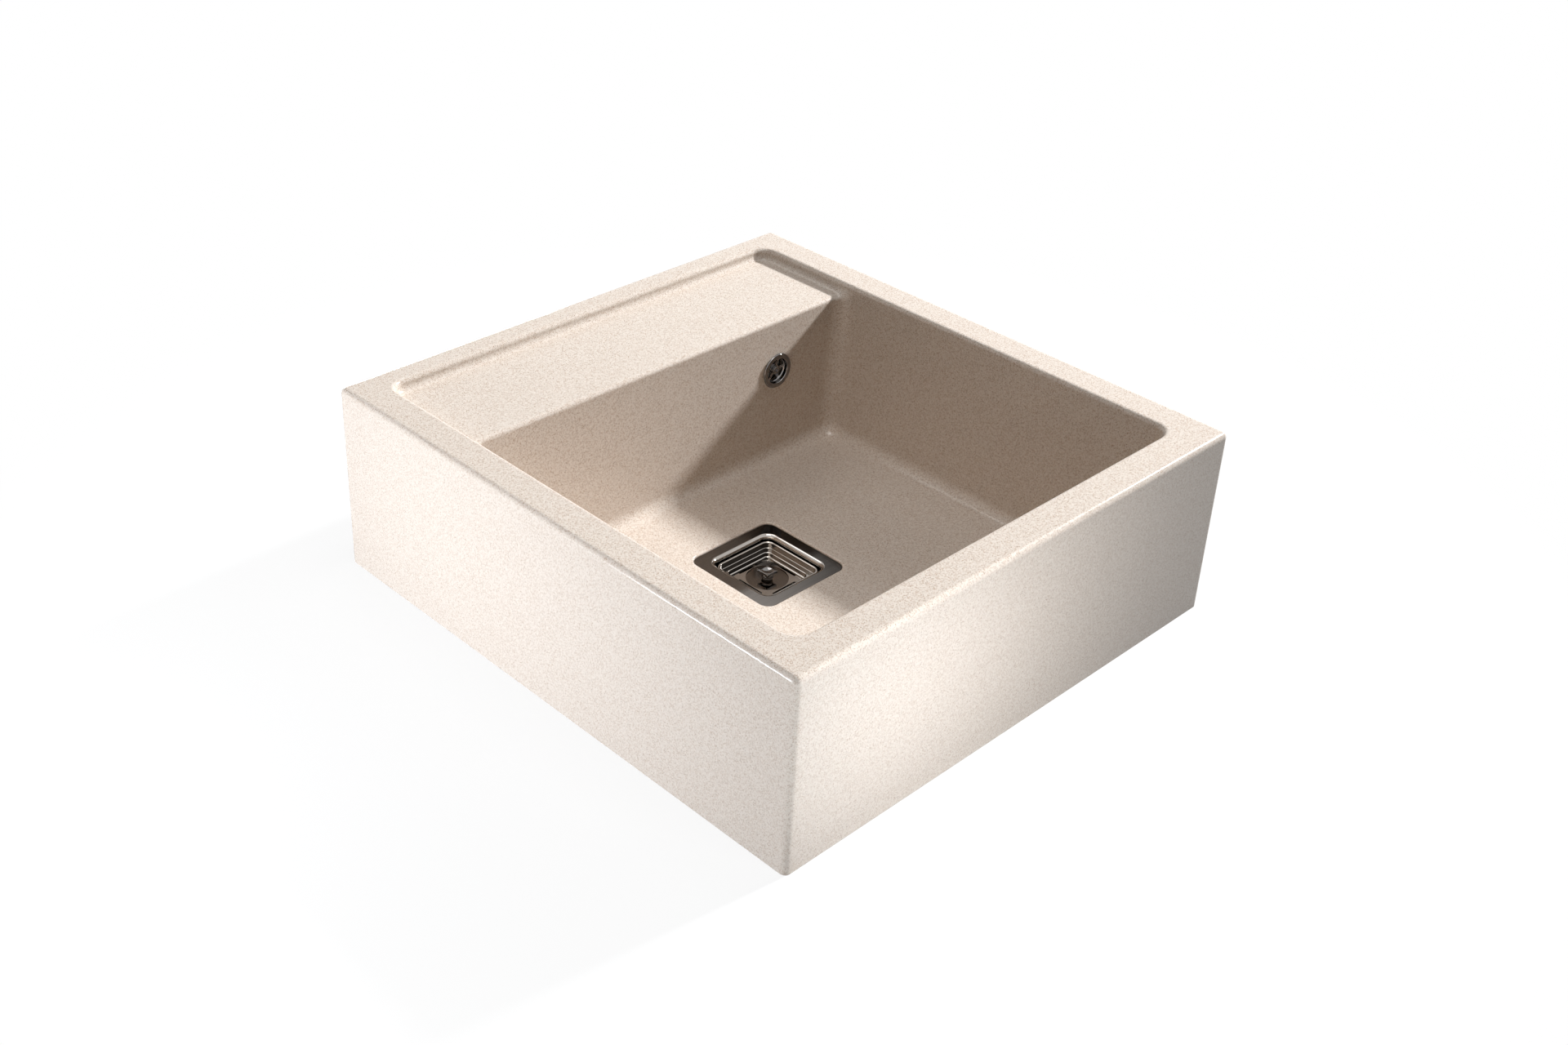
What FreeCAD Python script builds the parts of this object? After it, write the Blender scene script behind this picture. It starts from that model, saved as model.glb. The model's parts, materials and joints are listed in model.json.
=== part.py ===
import FreeCAD, Part
import math
import os
from FreeCAD import Vector

# A moulded granite-composite sink with a square basket strainer and a round overflow.
# Millimetres. +X to the user's right, +Y to the rear ledge, +Z up.
# The origin is the centre of the footprint, in the plane of the skirt's lower edge.

# Sink moulding, outside
SINK_WIDTH = 590.0
SINK_DEPTH = 620.0
SINK_HEIGHT = 200.0
OUTER_EDGE_RADIUS = 6.0
WALL = 10.0
RIM_THICKNESS = 12.0
FLOOR_THICKNESS = 12.0
FLOOR_LIFT = 8.0
SKIRT_CORNER = 8.0

# Sink moulding, bowl and ledge
SIDE_RIM = 39.0
FRONT_RIM = 39.0
REAR_RIM = 28.0
LEDGE_DEPTH = 125.0
LEDGE_DROP = 12.5
WALL_DRAFT = 3.5
RIM_INNER_RADIUS = 5.0
LEDGE_EDGE_RADIUS = 5.0
LEDGE_COVE_RADIUS = 6.5
FLOOR_COVE_RADIUS = 14.0
BOWL_FRONT_CORNER = 18.0
BOWL_REAR_CORNER = 18.0
RECESS_CORNER = 17.0

# Holes through the moulding
DRAIN_SETBACK = 317.0
FLANGE_RECESS = 4.5
FLANGE_GAP = 0.6
RECESS_EDGE_RADIUS = 2.0
DRAIN_HOLE_GAP = 4.5
OVERFLOW_OFFSET = 156.0
OVERFLOW_DROP = 74.0
OVERFLOW_HOLE = 32.0
TAP_HOLE = 35.0
TAP_SKIN = 5.0

# Pressed steel strainer body
SHEET = 1.2
FLANGE_SIZE = 112.0
FLANGE_SINK = 1.5
FLANGE_CORNER = 11.0
FLANGE_RING = 11.75
FLANGE_EDGE_RADIUS = 0.4
ROLL_RADIUS = 4.0
CUP_CORNER = 9.0
CUP_DEPTH = 42.0
CUP_FLOOR_RADIUS = 4.0
CUP_OUTLET = 46.0
CUP_HUB = 26.0
CUP_SPOKE = 5.0
SPOKE_COUNT = 4

# Seals under the strainer
FLANGE_SEAL_INSET = 2.0
LOWER_SEAL = 2.0

# Plastic waste housing
HOUSING_FLANGE = 118.0
HOUSING_FLANGE_THICKNESS = 4.0
HOUSING_GAP = 3.5
HOUSING_WALL = 3.0
HOUSING_DROP = 12.0
HOUSING_FLOOR_RADIUS = 7.0
HOUSING_RIB = 2.5
HOUSING_RIB_HEIGHT = 16.0
HOUSING_RIB_SPACING = 48.0
COLLAR_DIAMETER = 58.0
COLLAR_HEIGHT = 6.0
OUTLET_DIAMETER = 47.8
OUTLET_WALL = 3.7
OUTLET_LENGTH = 32.0
HUB_GAP = 1.5
HUB_HEIGHT = 22.0
HUB_WALL = 3.0
HUB_SPOKE = 3.0

# Hose spigots with barbs, on the housing and on the overflow
SPIGOT_DIAMETER = 22.0
SPIGOT_WALL = 2.5
SPIGOT_LENGTH = 28.0
BARB_HEIGHT = 1.0
BARB_LENGTH = 5.0
BARB_PITCH = 7.5
BARB_COUNT = 3

# Clamping screw and its insert
SCREW_DIAMETER = 12.0
SCREW_HEAD = 19.0
SCREW_HEAD_HEIGHT = 3.0
SCREW_SOCKET = 10.0
SCREW_SOCKET_DEPTH = 2.0
SCREW_WASHER = 22.0
SCREW_WASHER_THICKNESS = 1.5
SCREW_PROTRUSION = 2.0
INSERT_WALL = 2.0
INSERT_FLANGE = 20.0
INSERT_FLANGE_THICKNESS = 2.0
THREAD_GAP = 0.05
HOLE_GAP = 0.2

# Lift-out basket
BASKET_SHEET = 0.8
BASKET_RIM = 77.0
BASKET_RIM_DROP = 5.0
BASKET_BEAD = 2.0
BASKET_LIP = 1.6
BASKET_CORNER = 8.0
BASKET_LOWER_CORNER = 6.0
BASKET_STEP_DROP = 11.7
BASKET_STEP = 7.0
BASKET_STEP_RADIUS = 0.9
BASKET_FLOOR_DROP = 16.5
BASKET_FLOOR_RADIUS = 2.0
DISH_DIAMETER = 44.0
DISH_DEPTH = 1.0
SLOT_LENGTH = 33.0
SLOT_WIDTH = 3.0
SLOT_INSET = 4.8
SLOT_END_SHARE = 0.49
BEAD_EDGE_SHARE = 0.45

# Knob on the basket
KNOB_SIZE = 14.0
KNOB_HOLLOW = 0.8
KNOB_DISH = 11.0
KNOB_DISH_DEPTH = 0.8
KNOB_HEAD = 2.8
KNOB_HEIGHT = 9.8
KNOB_NECK = 9.0
KNOB_BARREL = 12.0
KNOB_FOOT = 9.0
KNOB_BARREL_SHARE = 0.6
KNOB_EDGE_SHARE = 0.15

# Stem, stopper seal and nut under the basket
STEM_DIAMETER = 6.0
STEM_STUD = 4.0
STEM_STUD_LENGTH = 6.0
STEM_COLLAR = 10.0
STEM_REACH = 40.0
STEM_CHAMFER = 0.8
STEM_GAP = 0.08
BORE_RELIEF = 2.0
RING_SECTION = 1.2
RING_SETBACK = 6.0
SEAL_PLATE = 32.0
SEAL_PLATE_THICKNESS = 1.2
STOPPER_DIAMETER = 54.0
STOPPER_HEIGHT = 15.9
STOPPER_THICKNESS = 3.5
STOPPER_LIP = 2.5
STOPPER_GAP = 0.2
NUT_SIZE = 10.0
NUT_HEIGHT = 3.2

# Overflow cover, screw and seals
COVER_DIAMETER = 40.0
COVER_SHEET = 1.3
COVER_EDGE_RADIUS = 1.0
COVER_DISH = 28.8
COVER_DISH_DEPTH = 6.0
COVER_DISH_RADIUS = 3.0
COVER_BOSS = 11.0
COVER_BOSS_DROP = 4.0
WINDOW_COUNT = 6
WINDOW_SPOKE = 3.4
WINDOW_MARGIN = 1.0
FRONT_SEAL = 0.8
COVER_SCREW = 5.0
COVER_SCREW_HEAD = 8.6
COVER_SCREW_HEAD_HEIGHT = 2.0
COVER_SOCKET = 4.0
COVER_SOCKET_DEPTH = 1.4
COVER_SCREW_EDGE_SHARE = 0.25

# Overflow elbow behind the rear bowl wall
REAR_SEAL = 2.0
ELBOW_FLANGE = 50.0
ELBOW_FLANGE_THICKNESS = 3.0
ELBOW_DIAMETER = 40.0
ELBOW_WALL = 3.0
ELBOW_LENGTH = 26.0
ELBOW_HUB_WALL = 2.0
ELBOW_SPOKE = 2.5
ELBOW_SPOKE_LENGTH = 5.0
ELBOW_HUB_LENGTH = 14.0
COVER_INSERT_WALL = 1.6

# Tools for cutting, picking and repeating
OVERCUT = 5.0
SAME = 0.001
BLEND_SHARE = 0.9
SQUARE_SIDES = 4

# Levels and places that follow from the sizes above
LEDGE_Z = SINK_HEIGHT - LEDGE_DROP
FLOOR_UNDER_Z = FLOOR_LIFT
FLOOR_Z = FLOOR_UNDER_Z + FLOOR_THICKNESS
BOWL_DEPTH = SINK_HEIGHT - FLOOR_Z
REAR_INNER_Y = SINK_DEPTH / 2 - REAR_RIM
LEDGE_FRONT_Y = REAR_INNER_Y - LEDGE_DEPTH
DRAIN_Y = DRAIN_SETBACK - SINK_DEPTH / 2
OVERFLOW_Z = SINK_HEIGHT - OVERFLOW_DROP
LEDGE_COVE = min(LEDGE_COVE_RADIUS, BLEND_SHARE * (LEDGE_DROP - RIM_INNER_RADIUS))

FLANGE_TOP_Z = FLOOR_Z - FLANGE_SINK
FLANGE_UNDER_Z = FLANGE_TOP_Z - SHEET
CUP_INSIDE = FLANGE_SIZE - 2 * (FLANGE_RING + ROLL_RADIUS)
CUP_OUTSIDE = CUP_INSIDE + 2 * SHEET
CUP_FLOOR_Z = FLOOR_Z - CUP_DEPTH
CUP_UNDER_Z = CUP_FLOOR_Z - SHEET
DRAIN_HOLE = CUP_OUTSIDE + 2 * DRAIN_HOLE_GAP
DRAIN_HOLE_CORNER = CUP_CORNER + SHEET + DRAIN_HOLE_GAP

HOUSING_TOP_Z = FLOOR_UNDER_Z - LOWER_SEAL
HOUSING_INSIDE = CUP_OUTSIDE + 2 * HOUSING_GAP
HOUSING_CORNER = CUP_CORNER + SHEET + HOUSING_GAP
HOUSING_OUTSIDE = HOUSING_INSIDE + 2 * HOUSING_WALL
HOUSING_FLOOR_Z = CUP_UNDER_Z - HOUSING_DROP
HOUSING_UNDER_Z = HOUSING_FLOOR_Z - HOUSING_WALL
COLLAR_UNDER_Z = HOUSING_UNDER_Z - COLLAR_HEIGHT
OUTLET_END_Z = COLLAR_UNDER_Z - OUTLET_LENGTH
OUTLET_BORE = OUTLET_DIAMETER - 2 * OUTLET_WALL
SPIGOT_BORE = SPIGOT_DIAMETER - 2 * SPIGOT_WALL
INLET_Z = HOUSING_FLOOR_Z + HOUSING_FLOOR_RADIUS + SPIGOT_DIAMETER / 2

HUB_TOP_Z = CUP_UNDER_Z - HUB_GAP
HUB_UNDER_Z = HUB_TOP_Z - HUB_HEIGHT
INSERT_DIAMETER = SCREW_DIAMETER + 2 * INSERT_WALL
HUB_DIAMETER = INSERT_DIAMETER + 2 * (THREAD_GAP + HUB_WALL)
INSERT_UNDER_Z = HUB_UNDER_Z - INSERT_FLANGE_THICKNESS
SCREW_SEAT_Z = CUP_FLOOR_Z + SCREW_WASHER_THICKNESS
SCREW_END_Z = INSERT_UNDER_Z - SCREW_PROTRUSION

BASKET_RIM_Z = FLANGE_TOP_Z - BASKET_RIM_DROP
BASKET_STEP_Z = FLANGE_TOP_Z - BASKET_STEP_DROP
BASKET_FLOOR_Z = FLANGE_TOP_Z - BASKET_FLOOR_DROP
BASKET_UPPER = BASKET_RIM - 2 * BASKET_LIP
BASKET_LOWER = BASKET_UPPER - 2 * BASKET_STEP
DISH_Z = BASKET_FLOOR_Z - DISH_DEPTH
DISH_UNDER_Z = DISH_Z - BASKET_SHEET
SEAL_PLATE_Z = CUP_FLOOR_Z + STOPPER_HEIGHT
STOPPER_TOP_Z = SEAL_PLATE_Z - SEAL_PLATE_THICKNESS
NUT_TOP_Z = STOPPER_TOP_Z - STOPPER_THICKNESS
STEM_END_Z = SEAL_PLATE_Z - STEM_REACH
STEM_BORE = STEM_DIAMETER + 2 * STEM_GAP

COVER_FRONT = -FRONT_SEAL - COVER_SHEET
COVER_FLOOR = COVER_FRONT + COVER_DISH_DEPTH
COVER_SEAT = COVER_FRONT + COVER_BOSS_DROP
ELBOW_SEAT = WALL + REAR_SEAL
ELBOW_BACK = ELBOW_SEAT + ELBOW_FLANGE_THICKNESS + ELBOW_LENGTH
ELBOW_BORE = ELBOW_DIAMETER - 2 * ELBOW_WALL
ELBOW_TAIL = (ELBOW_SEAT + ELBOW_BACK + ELBOW_FLANGE_THICKNESS - ELBOW_WALL) / 2
COVER_INSERT = COVER_SCREW + 2 * COVER_INSERT_WALL
ELBOW_HUB = COVER_INSERT + 2 * (THREAD_GAP + ELBOW_HUB_WALL)
ELBOW_HUB_END = ELBOW_SEAT + ELBOW_HUB_LENGTH


# Plain shapes

def cylinder(diameter, low, high):
    return Part.makeCylinder(diameter / 2, high - low, Vector(0, 0, low))


def tube(outer, inner, low, high):
    return cylinder(outer, low, high).cut(cylinder(inner, low - OVERCUT, high + OVERCUT))


def upright_edges(solid):
    boxes = [(edge, edge.BoundBox) for edge in solid.Edges]
    return [edge for edge, box in boxes if box.ZLength > SAME > max(box.XLength, box.YLength)]


def level_edges(solid, height):
    boxes = [(edge, edge.BoundBox) for edge in solid.Edges]
    return [edge for edge, box in boxes if box.ZLength < SAME and abs(box.ZMin - height) < SAME]


def inner_edges(solid, height, reach):
    # The level edges inside a centred square.
    chosen = []
    for edge in level_edges(solid, height):
        box = edge.BoundBox
        if max(box.XMax, -box.XMin, box.YMax, -box.YMin) < reach + SAME:
            chosen.append(edge)
    return chosen


def quarter_turns(solid):
    # The solid at each side of a square.
    turned = []
    for step in range(SQUARE_SIDES):
        copy = solid.copy()
        copy.rotate(Vector(0, 0, 0), Vector(0, 0, 1), 360.0 * step / SQUARE_SIDES)
        turned.append(copy)
    return turned


def rounded_square(size, corner, low, high):
    half = size / 2
    block = Part.makeBox(size, size, high - low, Vector(-half, -half, low))
    return block.makeFillet(corner, upright_edges(block))


def square_ring(outer, outer_corner, inner, inner_corner, low, high):
    ring = rounded_square(outer, outer_corner, low, high)
    return ring.cut(rounded_square(inner, inner_corner, low - OVERCUT, high + OVERCUT))


def hexagon(width, low, high):
    radius = width / math.sqrt(3)
    corners = [Vector(radius, 0, low)]
    for step in range(1, 6):
        turn = step * math.pi / 3
        corners.append(Vector(radius * math.cos(turn), radius * math.sin(turn), low))
    return Part.Face(Part.makePolygon(corners + corners[:1])).extrude(Vector(0, 0, high - low))


def spokes(count, width, reach, low, high):
    bar = Part.makeBox(reach, width, high - low, Vector(0, -width / 2, low))
    bars = []
    for step in range(count):
        turned = bar.copy()
        turned.rotate(Vector(0, 0, 0), Vector(0, 0, 1), 360.0 * step / count)
        bars.append(turned)
    return bars[0].multiFuse(bars[1:])


def revolved(points):
    outline = [Vector(radius, 0, height) for radius, height in points]
    face = Part.Face(Part.makePolygon(outline + outline[:1]))
    return face.revolve(Vector(0, 0, 0), Vector(0, 0, 1), 360)


def hose_spigot(root_depth):
    # Along +Z from the wall's face at 0, with barbs that slope towards the free end.
    body = cylinder(SPIGOT_DIAMETER, -root_depth, SPIGOT_LENGTH)
    for step in range(BARB_COUNT):
        tip = SPIGOT_LENGTH - step * BARB_PITCH
        root = SPIGOT_DIAMETER / 2
        barb = Part.makeCone(root + BARB_HEIGHT, root, BARB_LENGTH, Vector(0, 0, tip - BARB_LENGTH))
        body = body.fuse(barb)
    return body


def at_drain(solid):
    solid.translate(Vector(0, DRAIN_Y, 0))
    return solid


def at_overflow(solid):
    # Local +Z goes into the wall from its bowl face, and local +Y goes down.
    solid.rotate(Vector(0, 0, 0), Vector(1, 0, 0), -90)
    solid.translate(Vector(OVERFLOW_OFFSET, LEDGE_FRONT_Y, OVERFLOW_Z))
    return solid


# Sink moulding

def draft_at(height):
    return (SINK_HEIGHT - height) * math.tan(math.radians(WALL_DRAFT))


def drafted_block(low, high, rear, grow):
    # A block with drafted side and front walls and an upright rear wall, grown by a wall.
    slope = grow / math.cos(math.radians(WALL_DRAFT))
    sides = [SINK_WIDTH / 2 - SIDE_RIM - draft_at(z) + slope for z in (low, high)]
    fronts = [SINK_DEPTH / 2 - FRONT_RIM - draft_at(z) + slope for z in (low, high)]
    block = Part.makeWedge(-sides[0], low, -rear - grow, -rear - grow, -sides[1],
                           sides[0], high, fronts[0], fronts[1], sides[1])
    block.rotate(Vector(0, 0, 0), Vector(1, 0, 0), 90)
    return block


def tall_edges(solid, least, ahead_of=None, behind=None):
    chosen = []
    for edge in solid.Edges:
        box = edge.BoundBox
        ahead = ahead_of is None or box.YMax < ahead_of + SAME
        after = behind is None or box.YMin > behind - SAME
        if box.ZLength > least and ahead and after:
            chosen.append(edge)
    return chosen


def blended(solid, radii):
    # Rounds edges, given as (edge number, radius at its start, radius at its end).
    page = FreeCAD.newDocument()
    base = page.addObject("Part::Feature", "base")
    base.Shape = solid
    blend = page.addObject("Part::Fillet", "blend")
    blend.Base = base
    blend.Edges = radii
    page.recompute()
    result = blend.Shape.Solids[0].copy()
    FreeCAD.closeDocument(page.Name)
    return result


def rear_corner_radii(solid):
    # The bowl's rear corners narrow over the ledge's rounded edge to the small cove round the ledge.
    # The blend is one chain, up the right corner, round the ledge and down the left corner.
    radii = []
    ledge_line = LEDGE_FRONT_Y + LEDGE_EDGE_RADIUS
    for number, edge in enumerate(solid.Edges, 1):
        box = edge.BoundBox
        if box.YMin < LEDGE_FRONT_Y - SAME or box.ZMax > LEDGE_Z + SAME:
            continue
        if box.ZLength < SAME and box.ZMin > LEDGE_Z - SAME and box.YMax > ledge_line + SAME:
            radii.append((number, LEDGE_COVE, LEDGE_COVE))
        elif box.ZLength > LEDGE_EDGE_RADIUS + SAME:
            radii.append((number, BOWL_REAR_CORNER, BOWL_REAR_CORNER))
        elif box.ZLength > SAME and box.YMax < ledge_line + SAME and box.XLength < LEDGE_EDGE_RADIUS:
            ends = (BOWL_REAR_CORNER, LEDGE_COVE) if box.XMin > 0 else (LEDGE_COVE, BOWL_REAR_CORNER)
            radii.append((number,) + ends)
    return radii


def bowl_and_ledge():
    # The space above the bowl's floor and the ledge, up past the rim.
    top = SINK_HEIGHT + OVERCUT
    space = drafted_block(FLOOR_Z, top, LEDGE_FRONT_Y, 0)
    space = space.fuse(drafted_block(LEDGE_Z, top, REAR_INNER_Y, 0)).removeSplitter().Solids[0]
    lip = [edge for edge in level_edges(space, LEDGE_Z) if edge.BoundBox.YMax < LEDGE_FRONT_Y + SAME]
    space = space.makeFillet(LEDGE_EDGE_RADIUS, lip)
    space = space.makeFillet(BOWL_FRONT_CORNER, tall_edges(space, LEDGE_DROP, ahead_of=0))
    space = space.makeFillet(RECESS_CORNER, tall_edges(space, SAME, behind=REAR_INNER_Y))
    space = blended(space, rear_corner_radii(space))
    return space.makeFillet(FLOOR_COVE_RADIUS, level_edges(space, FLOOR_Z))


def bowl_outside():
    # The underside of the bowl and ledge, one wall away from their upper face.
    bowl = drafted_block(FLOOR_UNDER_Z, SINK_HEIGHT, LEDGE_FRONT_Y, WALL)
    bowl = bowl.makeFillet(BOWL_FRONT_CORNER + WALL, tall_edges(bowl, BOWL_DEPTH / 2, ahead_of=0))
    bowl = bowl.makeFillet(BOWL_REAR_CORNER + WALL, tall_edges(bowl, BOWL_DEPTH / 2, behind=LEDGE_FRONT_Y))
    bowl = bowl.makeFillet(FLOOR_COVE_RADIUS + WALL, level_edges(bowl, FLOOR_UNDER_Z))
    ledge_under = LEDGE_Z - WALL
    ledge = Part.makeBox(SINK_WIDTH, SINK_DEPTH / 2 - LEDGE_FRONT_Y, SINK_HEIGHT - ledge_under,
                         Vector(-SINK_WIDTH / 2, LEDGE_FRONT_Y, ledge_under))
    return bowl.fuse(ledge)


def skirt_hollow():
    # The open space inside the skirt, all round the bowl.
    width = SINK_WIDTH - 2 * WALL
    depth = SINK_DEPTH - 2 * WALL
    height = SINK_HEIGHT - RIM_THICKNESS + OVERCUT
    space = Part.makeBox(width, depth, height, Vector(-width / 2, -depth / 2, -OVERCUT))
    space = space.makeFillet(SKIRT_CORNER, upright_edges(space))
    return space.cut(bowl_outside())


def outer_block():
    block = Part.makeBox(SINK_WIDTH, SINK_DEPTH, SINK_HEIGHT, Vector(-SINK_WIDTH / 2, -SINK_DEPTH / 2, 0))
    edges = upright_edges(block) + level_edges(block, SINK_HEIGHT)
    return block.makeFillet(OUTER_EDGE_RADIUS, edges)


def rim_inner_edges(body):
    reach = SINK_WIDTH / 2 - OUTER_EDGE_RADIUS - SAME
    depth = SINK_DEPTH / 2 - OUTER_EDGE_RADIUS - SAME
    chosen = []
    for edge in level_edges(body, SINK_HEIGHT):
        box = edge.BoundBox
        if box.XMin > -reach and box.XMax < reach and box.YMin > -depth and box.YMax < depth:
            chosen.append(edge)
    return chosen


def drain_edges(body):
    reach = FLANGE_SIZE / 2 + FLANGE_GAP + SAME
    boxes = [(edge, edge.BoundBox) for edge in level_edges(body, FLOOR_Z)]
    return [edge for edge, box in boxes if max(box.XMax, -box.XMin) < reach]


def sink_body():
    body = outer_block().cut(bowl_and_ledge()).cut(skirt_hollow())
    body = body.makeFillet(RIM_INNER_RADIUS, rim_inner_edges(body))
    recess = rounded_square(FLANGE_SIZE + 2 * FLANGE_GAP, FLANGE_CORNER + FLANGE_GAP,
                            FLOOR_Z - FLANGE_RECESS, FLOOR_Z + OVERCUT)
    body = body.cut(at_drain(recess))
    body = body.makeFillet(RECESS_EDGE_RADIUS, drain_edges(body))
    drain = rounded_square(DRAIN_HOLE, DRAIN_HOLE_CORNER, FLOOR_UNDER_Z - OVERCUT, FLOOR_Z)
    overflow = cylinder(OVERFLOW_HOLE, -OVERCUT, WALL + OVERCUT)
    tap = cylinder(TAP_HOLE, LEDGE_Z - WALL - OVERCUT, LEDGE_Z - TAP_SKIN)
    tap.translate(Vector(0, LEDGE_FRONT_Y + LEDGE_DEPTH / 2, 0))
    return body.cut(at_drain(drain)).cut(at_overflow(overflow)).cut(tap)


# Strainer body and its seals

def cup_outlets():
    ring = tube(CUP_OUTLET, CUP_HUB, CUP_UNDER_Z - OVERCUT, CUP_FLOOR_Z + OVERCUT)
    bars = spokes(SPOKE_COUNT, CUP_SPOKE, CUP_OUTLET, CUP_UNDER_Z - OVERCUT, CUP_FLOOR_Z + OVERCUT)
    return ring.cut(bars)


def strainer_body():
    plate = rounded_square(FLANGE_SIZE, FLANGE_CORNER, FLANGE_UNDER_Z, FLANGE_TOP_Z)
    plate = plate.makeFillet(FLANGE_EDGE_RADIUS, level_edges(plate, FLANGE_TOP_Z))
    cup = rounded_square(CUP_OUTSIDE, CUP_CORNER + SHEET, CUP_UNDER_Z, FLANGE_UNDER_Z)
    cup = cup.makeFillet(CUP_FLOOR_RADIUS + SHEET, level_edges(cup, CUP_UNDER_Z))
    body = plate.fuse(cup)
    body = body.makeFillet(ROLL_RADIUS - SHEET, inner_edges(body, FLANGE_UNDER_Z, CUP_OUTSIDE / 2))
    inside = rounded_square(CUP_INSIDE, CUP_CORNER, CUP_FLOOR_Z, FLANGE_TOP_Z + OVERCUT)
    inside = inside.makeFillet(CUP_FLOOR_RADIUS, level_edges(inside, CUP_FLOOR_Z))
    body = body.cut(inside)
    body = body.makeFillet(ROLL_RADIUS, inner_edges(body, FLANGE_TOP_Z, CUP_INSIDE / 2))
    screw_hole = cylinder(SCREW_DIAMETER + 2 * HOLE_GAP, CUP_UNDER_Z - OVERCUT, CUP_FLOOR_Z + OVERCUT)
    return at_drain(body.cut(cup_outlets()).cut(screw_hole))


def flange_seal():
    inset = FLANGE_SEAL_INSET
    ring = square_ring(FLANGE_SIZE - 2 * inset, FLANGE_CORNER - inset, DRAIN_HOLE, DRAIN_HOLE_CORNER,
                       FLOOR_Z - FLANGE_RECESS, FLANGE_UNDER_Z)
    return at_drain(ring)


def lower_seal():
    corner = HOUSING_CORNER + (HOUSING_FLANGE - HOUSING_INSIDE) / 2
    ring = square_ring(HOUSING_FLANGE, corner, DRAIN_HOLE, DRAIN_HOLE_CORNER, HOUSING_TOP_Z, FLOOR_UNDER_Z)
    return at_drain(ring)


# Waste housing, with the clamping screw and its insert

def inlet_spigot():
    # Runs to the rear from the housing's wall.
    spigot = hose_spigot(HOUSING_WALL / 2)
    spigot.rotate(Vector(0, 0, 0), Vector(1, 0, 0), -90)
    spigot.translate(Vector(0, HOUSING_OUTSIDE / 2, INLET_Z))
    return spigot


def inlet_bore():
    reach = HOUSING_WALL + SPIGOT_LENGTH + 2 * OVERCUT
    start = Vector(0, HOUSING_INSIDE / 2 - OVERCUT, INLET_Z)
    return Part.makeCylinder(SPIGOT_BORE / 2, reach, start, Vector(0, 1, 0))


def housing_ribs():
    # Gussets between the flange and the wall, a pair on each side.
    reach = HOUSING_FLANGE / 2
    low = HOUSING_TOP_Z - HOUSING_FLANGE_THICKNESS - HOUSING_RIB_HEIGHT
    high = HOUSING_TOP_Z - HOUSING_FLANGE_THICKNESS
    wall = HOUSING_INSIDE / 2 + HOUSING_WALL / 2
    corners = [Vector(wall, 0, low), Vector(HOUSING_OUTSIDE / 2, 0, low),
               Vector(reach - HOUSING_WALL, 0, high), Vector(wall, 0, high), Vector(wall, 0, low)]
    rib = Part.Face(Part.makePolygon(corners)).extrude(Vector(0, HOUSING_RIB, 0))
    ribs = []
    for side in (-1, 1):
        moved = rib.copy()
        moved.translate(Vector(0, side * HOUSING_RIB_SPACING / 2 - HOUSING_RIB / 2, 0))
        ribs.extend(quarter_turns(moved))
    return ribs


def housing_shell():
    corner = HOUSING_CORNER + (HOUSING_FLANGE - HOUSING_INSIDE) / 2
    flange = rounded_square(HOUSING_FLANGE, corner, HOUSING_TOP_Z - HOUSING_FLANGE_THICKNESS, HOUSING_TOP_Z)
    cup = rounded_square(HOUSING_OUTSIDE, HOUSING_CORNER + HOUSING_WALL, HOUSING_UNDER_Z, HOUSING_TOP_Z)
    cup = cup.makeFillet(HOUSING_FLOOR_RADIUS + HOUSING_WALL, level_edges(cup, HOUSING_UNDER_Z))
    collar = cylinder(COLLAR_DIAMETER, COLLAR_UNDER_Z, HOUSING_UNDER_Z + HOUSING_WALL / 2)
    outlet = cylinder(OUTLET_DIAMETER, OUTLET_END_Z, HOUSING_UNDER_Z + HOUSING_WALL / 2)
    shell = flange.multiFuse([cup, collar, outlet, inlet_spigot()] + housing_ribs())
    inside = rounded_square(HOUSING_INSIDE, HOUSING_CORNER, HOUSING_FLOOR_Z, HOUSING_TOP_Z + OVERCUT)
    inside = inside.makeFillet(HOUSING_FLOOR_RADIUS, level_edges(inside, HOUSING_FLOOR_Z))
    bore = cylinder(OUTLET_BORE, OUTLET_END_Z - OVERCUT, HOUSING_FLOOR_Z + OVERCUT)
    return shell.cut(inside).cut(bore).cut(inlet_bore())


def waste_housing():
    hub = cylinder(HUB_DIAMETER, HUB_UNDER_Z, HUB_TOP_Z)
    reach = OUTLET_BORE / 2 + OUTLET_WALL / 2
    bars = spokes(SPOKE_COUNT, HUB_SPOKE, reach, HUB_UNDER_Z, HOUSING_UNDER_Z)
    bore = cylinder(INSERT_DIAMETER + 2 * THREAD_GAP, HUB_UNDER_Z - OVERCUT, HUB_TOP_Z + OVERCUT)
    return at_drain(housing_shell().fuse(hub).fuse(bars).cut(bore).removeSplitter())


def housing_insert():
    flange = cylinder(INSERT_FLANGE, INSERT_UNDER_Z, HUB_UNDER_Z)
    sleeve = cylinder(INSERT_DIAMETER, HUB_UNDER_Z, HUB_TOP_Z)
    thread = cylinder(SCREW_DIAMETER + 2 * THREAD_GAP, INSERT_UNDER_Z - OVERCUT, HUB_TOP_Z + OVERCUT)
    return at_drain(flange.fuse(sleeve).cut(thread))


def screw_washer():
    return at_drain(tube(SCREW_WASHER, SCREW_DIAMETER + 2 * HOLE_GAP, CUP_FLOOR_Z, SCREW_SEAT_Z))


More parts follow.
